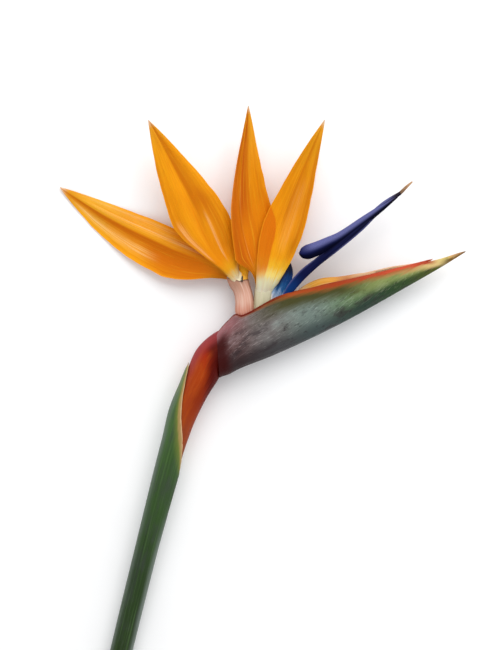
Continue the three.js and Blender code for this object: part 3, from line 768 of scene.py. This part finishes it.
def bud_paint():
    """The next floret's folded sepals: pale peach at the foot, orange-yellow beyond."""
    paint = Paint("next bud")
    streaks = paint.noise(0.05, 1.4, detail=5)
    paint.base = paint.mark("along").ramp(BUD_BODY)
    paint.cover(streaks.fit(0.45, 0.7, 0.5), 0xFBD08A)
    paint.cover(streaks.fit(0.45, 0.25, 0.5), 0xC97716)
    return paint.finish(streaks, 0.3, 0.5, 0.5, gloss=0.15, glow=0.15)


def dry_paint(name, low, high):
    """A dried remnant, such as the style and the petal stub."""
    paint = Paint(name)
    streaks = paint.noise(0.5, 2.5, detail=5)
    place = paint.mark("along") + streaks.jitter(0.2)
    paint.base = place.ramp([(0.1, low), (0.9, high)])
    return paint.finish(streaks, 0.3, 0.7, 0.6)


# ---- Pieces ----


def half_width(side, u):
    """Half-width of one side of a blade at u, the share of its length from the foot."""
    tip = BLADE_THICKNESS / 2
    widened = np.sin(math.pi / 2 * np.clip(u / side.at, 0, 1)) ** side.widen
    tapered = np.clip((u - side.at) / (1 - side.at), 0, 1) ** side.taper
    low = lerp(side.foot, side.widest, widened)
    high = lerp(side.widest, tip, tapered)
    return np.where(u < side.at, low, high)


def covered(shape, x, y):
    """How far points in the plane lie over another blade: 1 within its outline, 0 outside."""
    track = Track(shape.spine)
    share = np.linspace(0, 1, 400)
    place = track.at(share)
    spine_x, spine_y = place.centre[:, 0], place.centre[:, 1]
    nearest = np.zeros(x.shape, int)
    for row in range(len(x)):
        gaps = (x[row, :, None] - spine_x) ** 2 + (y[row, :, None] - spine_y) ** 2
        nearest[row] = np.argmin(gaps, axis=1)
    side = place.side[nearest]
    across = (x - spine_x[nearest]) * side[..., 0] + (y - spine_y[nearest]) * side[..., 1]
    u = share[nearest]
    reach = np.where(across < 0, half_width(shape.left, u), half_width(shape.right, u))
    return smoothstep(reach - np.abs(across), -0.1, 0.5) * smoothstep(u, 0.02, 0.1)


def blade(name, shape, seed, clasp=0.25, sunk=2.6, rib_spacing=1.15, rows=150, columns=96, behind=None):
    """A sepal or petal: a thin blade with pleats and fine lengthwise ribs along its spine. Its foot
    is sunk into the tube that it grows on, and where a blade lies behind it, painted shade stands
    for that blade seen through it."""
    track = Track(shape.spine)
    u = np.linspace(0, 1, rows + 1)[:, None]
    v = np.linspace(-1, 1, columns + 1)[None, :]
    place = track.at(u)
    width = np.where(v < 0, half_width(shape.left, u), half_width(shape.right, u))
    widest = np.where(v < 0, shape.left.widest, shape.right.widest)
    fold = np.where(v < 0, shape.left.fold, shape.right.fold)
    cup = np.where(v < 0, shape.left.cup, shape.right.cup)
    soft = 0.03  # how gently it folds at its spine
    away = np.sqrt(v**2 + soft**2) - soft
    rise = width * (cup * v**2 - fold * away)
    rise = rise - clasp * width * v**2 * (1 - smoothstep(u, 0, 0.16))
    rise = rise - sunk * (1 - smoothstep(u, 0, 0.1))
    rise = rise + bumps(shape.pleats, u, v) * width / widest
    count = widest / rib_spacing
    rib = np.cos(2 * math.pi * (v * count + 0.25 * waver(u * 0.6, seed)))
    rib = rib * (0.6 + 0.4 * np.sin(9.0 * v + seed) * np.sin(5.0 * u + 2.0 * v))
    ribbed = window(u, 0.03, 0.15, 0.8, 1.0) * (1 - v**6)
    rise = rise + RIB_HEIGHT * rib * ribbed
    wavy = 1 + 0.012 * waver(u * 2.3 + 0.3 * np.sign(v), seed + 5) * smoothstep(u, 0.1, 0.3)
    flat = place.centre + place.side * (v * width * wavy)[..., None]
    thickness = lerp(CLAW_THICKNESS, BLADE_THICKNESS, smoothstep(u, 0, 0.2)) * (1 - np.abs(v) ** 7)
    upward = np.array([0.0, 0.0, 1.0])
    upper = flat + (rise + thickness / 2)[..., None] * upward
    lower = flat + (rise - thickness / 2)[..., None] * upward
    lower[..., 2] = np.maximum(lower[..., 2], 0)
    upper[..., 2] = np.maximum(upper[..., 2], 0.6 * thickness)
    rings = np.concatenate([upper, lower[:, -2:0:-1]], axis=1)
    whole = both_faces((rows + 1, columns + 1))
    shown = covered(behind, flat[..., 0], flat[..., 1]) if behind else 0.0
    marks = {
        "along": whole(u),
        "behind": whole(THROUGH_SHADE * shown),
        "deep": whole(np.clip(bumps(shape.deep, u, v), 0, 1)),
        "pale": whole(np.clip(bumps(shape.pale, u, v), 0, 1)),
        "margin": whole(smoothstep(np.abs(v), 0.93, 1.0)),
        "grain": grain(whole(u * track.length), whole(v * widest), seed),
    }
    return skin(name, rings, marks)


def rod(stations, seed, rows, sides, rounded=(0.0, 0.0), flutes=0, depth=0.0):
    """A smooth rod. rounded is the share of its length over which each end is rounded off, and
    flutes are shallow grooves along it. Its side mark is 1 on the right and -1 on the left."""
    track = Track(stations)
    u = (1 - np.cos(np.linspace(0, math.pi, rows + 1)))[:, None] / 2
    angle = np.linspace(0, 2 * math.pi, sides, endpoint=False)[None, :]
    place = track.at(u)
    for share, inwards in zip(rounded, (u, 1 - u)):
        if share:
            swell = np.sqrt(1 - (1 - np.clip(inwards / share, 0.002, 1)) ** 2)
            place.flat = place.flat * swell
            place.upright = place.upright * swell
    groove = depth * np.cos(flutes * angle + waver(u * 0.5, seed))
    rings = points_round(place, angle, groove * np.minimum(1, place.flat))
    turned = (angle / math.pi - 1) * np.max(place.flat) * math.pi
    marks = {
        "along": u,
        "side": np.cos(angle),
        "over": np.sin(angle),
        "edge": smoothstep(np.abs(np.cos(angle)), 0.6, 1.0),
        "grain": grain(u * track.length, turned, seed),
    }
    return rings, marks


def stem(cut):
    """The stem and its neck, which fills the spathe's foot where it goes in."""
    filled = [list(station) for station in STEM]
    filled[NECK_END][3] += NECK_FILL
    rings, marks = rod(filled, 1, 260, 96, flutes=9, depth=0.05)
    dress(skin("neck", rings, marks), "stem_skin", [stem_paint(), cut], "stem")


def sheath_reach(angle):
    """How far up the stem the sheath's mouth is, round it."""
    turned = (1 - np.cos(angle)) / 2
    belly = SHEATH_MOUTH_BELLY * turned * (1 - turned) ** 3
    return SHEATH_MOUTH_LOW + SHEATH_MOUTH_RISE * (turned**SHEATH_MOUTH_POWER + belly)


def sheath(cut):
    """The bract wrapped round the stem, thinning to a dry margin at its slanting mouth."""
    track = Track(STEM)
    rows, sides = 200, 144
    angle = np.linspace(0, 2 * math.pi, sides, endpoint=False)[:, None]
    share = np.linspace(0, 1, rows + 1)[None, :]
    frayed = 0.7 * waver(angle / math.pi, 11, waves=24) * smoothstep(share, 0.8, 1.0)
    reach = sheath_reach(angle)
    walked = (reach + frayed) * share
    place = track.at(walked / track.length)
    slope = SHEATH_MOUTH_RISE / (2 * SHEATH_RADIUS)
    steep = np.sqrt(1 + (slope * np.sin(angle)) ** 2)
    mouth = (reach + frayed - walked) / steep
    ribs = LEAF_RIB_HEIGHT * np.cos(SHEATH_RIBS * angle + waver(share * 0.7, 12)) * smoothstep(mouth, 0, 4)
    flare = 0.25 * (1 - smoothstep(mouth, 0, 3.5)) * (1 + 0.5 * waver(angle / 2, 13))
    wall = lerp(0.25, SHEATH_WALL, smoothstep(mouth, 0, 5))
    inner = points_round(place, angle, SHEATH_GAP + flare)
    outer = points_round(place, angle, SHEATH_GAP + flare + wall + ribs)
    rings = np.concatenate([outer, inner[:, ::-1]], axis=1)
    rings[..., 2] = np.maximum(rings[..., 2], 0)
    share_up = walked / (SHEATH_MOUTH_LOW + SHEATH_MOUTH_RISE)
    # Where the grey bloom and its painted sheen go: the left side, and the right side low down.
    grey_left = 0.6 * smoothstep(-np.cos(angle), 0.55, 1.0)
    grey_right = smoothstep(np.cos(angle), 0.55, 1.0) * (1 - smoothstep(share_up, 0.4, 0.6))
    turned = (angle - math.pi) * SHEATH_PATTERN_RADIUS
    whole = both_faces((sides, rows + 1), shared=0)
    marks = {
        "along": whole(share_up),
        "mouth": whole(mouth),
        "edge": whole(grey_left + grey_right),
        "inner": whole(0.0, 1.0),
        "grain": grain(whole(walked), whole(turned), 3),
    }
    dress(skin("sheath_leaf", rings, marks, joined=True), "sheath_leaf", [sheath_paint(), cut], "sheath")


def through(values, t):
    """A smooth value at shares t through evenly spaced values."""
    values = np.asarray(values, float)
    last = len(values) - 1
    k = np.minimum((t * last).astype(int), last - 1)
    f = t * last - k
    a, b, c, d = (values[np.clip(k + i, 0, last)] for i in (-1, 0, 1, 2))
    return b + 0.5 * f * (c - a + f * (2 * a - 5 * b + 4 * c - d + f * (3 * (b - c) + d - a)))


def spathe():
    """The boat-shaped bract: a folded leaf, thick at the keel, with a rounded lip at each rim."""
    rows, half_columns = 220, 90
    # The rows lie closer together towards the foot, and the columns towards the rims.
    t = np.linspace(0, 1, rows + 1)[:, None] ** 1.25
    even = np.linspace(-1, 1, 2 * half_columns + 1)[None, :]
    v = 0.35 * np.sin(math.pi / 2 * even) + 0.65 * even
    out = np.abs(v)  # 0 at the keel, 1 at the rims
    low = Track([[x, y, 0] for x, y in KEEL]).at(t).centre
    high = Track([[x, y, 0] for x, y in RIM]).at(t).centre
    depth = np.linalg.norm(high - low, axis=-1)
    half_thickness = through(SPATHE_HALF_THICKNESS, t)
    half_mouth = MOUTH_SLIT + MOUTH_HALF_WIDTH * window(t, *MOUTH_RUN)
    opening = np.minimum(half_mouth / half_thickness, 0.5)
    turn = (math.pi - np.arcsin(opening)) * out
    semi = depth / (1 + np.sqrt(1 - opening**2))
    full_wall = np.minimum(SPATHE_WALL, 0.4 * np.minimum(half_thickness, semi))
    hug = SPATHE_HUG * (1 - smoothstep(t, 0, 0.05)) * lerp(1.0, 0.35, smoothstep(out, 0.6, 0.9))
    lip_share = 0.05
    rounded = np.sqrt(1 - np.clip((out - 1 + lip_share) / lip_share, 0, 1) ** 2)
    ribs = LEAF_RIB_HEIGHT * np.cos(46 * v + waver(t * 0.6, 21)) * (1 - out**8) * smoothstep(t, 0, 0.1)
    swell = SPATHE_SWELL * waver(t * 1.1 + 0.2 * v, 22) * np.sin(math.pi * out) * (1 - t)
    far_lift = SPATHE_FAR_LIFT * window(t, 0.3, 0.45, 0.7, 0.82) * (v < 0)
    near_lift = SPATHE_NEAR_LIFT * window(t, 0.06, 0.24, 0.25, 0.42) * (v > 0)
    beak_step = BEAK_STEP * window(t, 0.84, 0.85, 0.89, 0.99)
    rim_rise = (far_lift + near_lift - beak_step) * out**5

    def face(inset, relief):
        radius = semi - inset + relief - hug
        height = (semi - radius * np.cos(turn) + rim_rise) / depth
        sideways = np.sign(v) * (half_thickness - inset + relief - hug) * np.sin(turn)
        flat = low + (high - low) * height[..., None]
        return np.stack([flat[..., 0], flat[..., 1], MIDPLANE + sideways], axis=-1)

    outer = face(full_wall * (1 - rounded) / 2, ribs + swell)
    inner = face(full_wall * (1 + rounded) / 2, swell)
    rings = np.concatenate([outer, inner[:, -2:0:-1]], axis=1)
    rings[..., 2] = np.maximum(rings[..., 2], 0)
    steps = np.linalg.norm(np.diff(outer, axis=1), axis=-1)
    walked = np.concatenate([np.zeros((rows + 1, 1)), np.cumsum(steps, axis=1)], axis=1)
    lip = np.minimum(walked, walked[:, -1:] - walked)
    height = (1 - np.cos(turn)) / (1 + np.sqrt(1 - opening**2))
    from_keel = walked - walked[:, half_columns : half_columns + 1]
    whole = both_faces((rows + 1, 2 * half_columns + 1))
    splinter = SPLINTER * window(t, 0.79, 0.84, 0.842, 0.846) * out**70 * (v > 0)
    rings = rings + unit(high[-1] - high[0]) * whole(splinter)[..., None]
    marks = {
        "along": whole(t),
        "height": whole(height),
        "lip": whole(lip),
        "inner": whole(0.0, 1.0),
        "far": whole(smoothstep(-v, 0.9, 0.95) * smoothstep(t, 0.2, 0.4)),
        "grain": grain(whole(t * SPATHE_LENGTH), whole(from_keel), 4),
    }
    lean = math.radians(14)
    forward, up = whole(t * SPATHE_LENGTH), whole(from_keel)
    leaning = forward * math.cos(lean) + up * math.sin(lean)
    marks["slant"] = grain(leaning, up * math.cos(lean) - forward * math.sin(lean), 0)
    dress(skin("spathe_leaf", rings, marks), "spathe_leaf", [spathe_paint()], "spathe")


def sepals():
    """All the sepals. The near one gets painted shade where the upright one lies behind it."""
    paints = sepal_paints()
    for seed, (node, shape) in enumerate(BLADES.items(), start=31):
        if node in paints:
            behind = BLADES["floret_2_sepal_upright"] if node == "floret_2_sepal_near" else None
            piece = blade(node + "_blade", shape, seed, behind=behind)
            dress(piece, "orange_sepal", [paints[node]], node)


def small_petal():
    node = "floret_2_small_petal"
    size = {"rib_spacing": 0.8, "rows": 70, "columns": 48}
    piece = blade(node + "_blade", BLADES[node], 41, clasp=0.0, sunk=0.0, **size)
    dress(piece, "blue_petal", [blue_petal_paint()], node)


def tubes():
    """The florets' tubes. The seam on the first is a line in the plane, where its sepals grow on; the second
    has none.
    """
    pinks = [(0.14, 0xB8492E), (0.27, 0xD08A72), (0.45, 0xD8A48E), (0.9, 0xA87A62)]
    creams = [(0.1, 0xC4A88C), (0.45, 0xC8BF9C), (0.7, 0xCCC6A4), (0.95, 0xD8D4B8)]
    pink = tube_paint("pink tube", pinks, 0xA5684F)
    cream = tube_paint("cream tube", creams, 0xB4A888)
    for node, stations, seed, slot, paint, seam in (
        ("floret_1_tube", TUBE_1, 51, "pink_tube", pink, TUBE_1_SEAM),
        ("floret_2_tube", TUBE_2, 52, "cream_tube", cream, None),
    ):
        rings, marks = rod(stations, seed, 120, 72, flutes=7, depth=0.12)
        if seam:
            x, y = rings[..., 0], rings[..., 1]
            marks["above"] = y - np.interp(x, seam.x, seam.y)
            marks["claw"] = smoothstep(x, seam.notch - 0.5, seam.notch + 0.5)
        else:
            marks["above"] = -9.0  # far below any seam
        piece = skin(node + "_skin", rings, marks)
        dress(piece, slot, [paint], node)


def next_bud():
    """The next floret's folded sepals, which peep over the spathe's rim."""
    rings, marks = rod(NEXT_BUD, 53, 120, 64, rounded=(0.02, 0.02), flutes=5, depth=0.25)
    dress(skin("next_bud_sepals", rings, marks), "orange_sepal", [bud_paint()], "next_bud")


def remnants():
    """The tan style at the arrow's tip, sunk in it, and the dark stub of a withered petal."""
    rings, marks = rod(STYLE, 54, 30, 24, rounded=(0.0, 0.05))
    tan = dry_paint("tan style", 0x5A3E24, 0xB0855A)
    dress(skin("style_tip", rings, marks), "tan_style", [tan], "floret_2_style")
    rings, marks = rod(PETAL_STUB, 55, 24, 24, rounded=(0.05, 0.2))
    dark = dry_paint("dark stub", 0x140C08, 0x2A1A12)
    dress(skin("petal_stub", rings, marks), "dry_remnant", [dark], "floret_1_petal_stub")


def arrow():
    """The arrow of joined petals: a shaft, and a lobe on each side that ends in a rounded barb."""
    rings, marks = rod(ARROW_SHAFT, 61, 200, 48)
    along, side = marks["along"], marks["side"]
    # The lavender bloom, partly a painted highlight: on the shaft's lit edges and the flank of its tip.
    upper_edge = smoothstep(-side, 0.55, 0.98) * (1 - smoothstep(along, 0.4, 0.5))
    lower_edge = smoothstep(side, 0.55, 0.95) * smoothstep(along, 0.4, 0.55)
    tip = smoothstep(along, 0.74, 0.82)
    tip_flank = smoothstep(-side, -0.1, 0.5) * tip * (1 - smoothstep(along, 0.92, 0.98))
    marks["bloom"] = 0.7 * upper_edge + 0.8 * lower_edge * (1 - tip) + 0.85 * tip_flank
    # Here the side mark is painted shade: the shaft's upper side beside the lobes, its lower side near the
    # tip.
    marks["side"] = np.where(along > 0.45, lerp(-0.6, 1.0, tip) * side, 0.0)
    marks["foot"] = 1 - smoothstep(along, 0.1, 0.3)
    parts = [skin("arrow_petals", rings, marks)]
    heights = Track(ARROW_SHAFT).at(np.linspace(0.45, 1.0, len(ARROW_LOBE))).centre[:, 2]
    for seed, up in ((62, 1), (63, -1)):
        stations = [
            [x, y, z + up * offset, flat, upright]
            for (x, y, offset, flat, upright), z in zip(ARROW_LOBE, heights)
        ]
        rings, marks = rod(stations, seed, 160, 48)
        over = marks["over"] * up
        # The lobe's bloom, partly a painted highlight, on its flank that faces the light.
        flank = smoothstep(-marks["side"], -0.3, 0.5) * smoothstep(over, -0.9, 0.2)
        marks["bloom"] = flank * smoothstep(marks["along"], -0.02, 0.16)
        marks["foot"] = 0.0
        parts.append(skin(f"arrow_lobe_{seed}", rings, marks))
    piece = parts[0]
    with bpy.context.temp_override(active_object=piece, object=piece, selected_editable_objects=parts):
        bpy.ops.object.join()
    dress(piece, "blue_petal", [arrow_paint()], "floret_2_arrow")


# ---- The scene ----


def floor():
    """A wide pale floor."""
    edge = 3.0
    mesh = bpy.data.meshes.new("floor")
    corners = [(-edge, -edge, 0), (edge, -edge, 0), (edge, edge, 0), (-edge, edge, 0)]
    mesh.from_pydata(corners, [], [(0, 1, 2, 3)])
    ground = placed("floor", mesh)
    paint = Paint("pale floor")
    specks = paint.field("TexNoise", "Fac", {"Scale": 60.0, "Detail": 3.0})
    paint.base = specks.ramp([(0.3, 0xF6F6F6), (0.7, 0xFAFAFA)])
    ground.data.materials.append(paint.finish(specks, 0.02, 0.1, 0.8))


def area_light(name, place, target, size, power, tint=0xFFFFFF):
    lamp = bpy.data.lights.new(name, "AREA")
    lamp.shape = "RECTANGLE"
    lamp.size, lamp.size_y = size
    lamp.energy = power
    lamp.color = colour(tint)[:3]
    lit = placed(name, lamp)
    lit.location = place
    lit.rotation_euler = (Vector(target) - lit.location).to_track_quat("-Z", "Y").to_euler()


def studio():
    """Soft studio light: a wide key beyond the sepals, a strip on each side, and a pale surround."""
    centre = (0.0, 0.04, 0.01)
    area_light("key", (0.3, 1.1, 1.15), centre, (1.9, 1.2), 19)
    area_light("left strip", (-1.0, 0.0, 0.35), centre, (1.2, 0.25), 2.5, 0xEEF3FF)
    area_light("right strip", (1.0, -0.1, 0.35), centre, (1.2, 0.25), 3.5, 0xEEF3FF)
    world = bpy.data.worlds.new("surround")
    world.use_nodes = True
    sky = world.node_tree.nodes["Background"]
    sky.inputs["Color"].default_value = (1.0, 1.0, 1.0, 1.0)
    sky.inputs["Strength"].default_value = 0.7
    bpy.context.scene.world = world
    bpy.context.scene.view_settings.view_transform = "Standard"


def camera():
    """Straight above the flower, far enough off for its parts to keep their proportions."""
    distance = 3.0
    seen_height = 0.39
    middle = (-0.0114, 0.0432)  # of the picture, a little to the left of the frame's origin
    sensor = 36.0
    view = bpy.data.cameras.new("camera")
    view.sensor_width = sensor
    view.lens = sensor * (distance - MIDPLANE * MM) / seen_height
    view.clip_end = 20.0
    eye = placed("camera", view)
    eye.location = (*middle, distance)
    bpy.context.scene.camera = eye


cut = cut_paint()
stem(cut)
sheath(cut)
spathe()
sepals()
small_petal()
tubes()
next_bud()
remnants()
arrow()
floor()
studio()
camera()
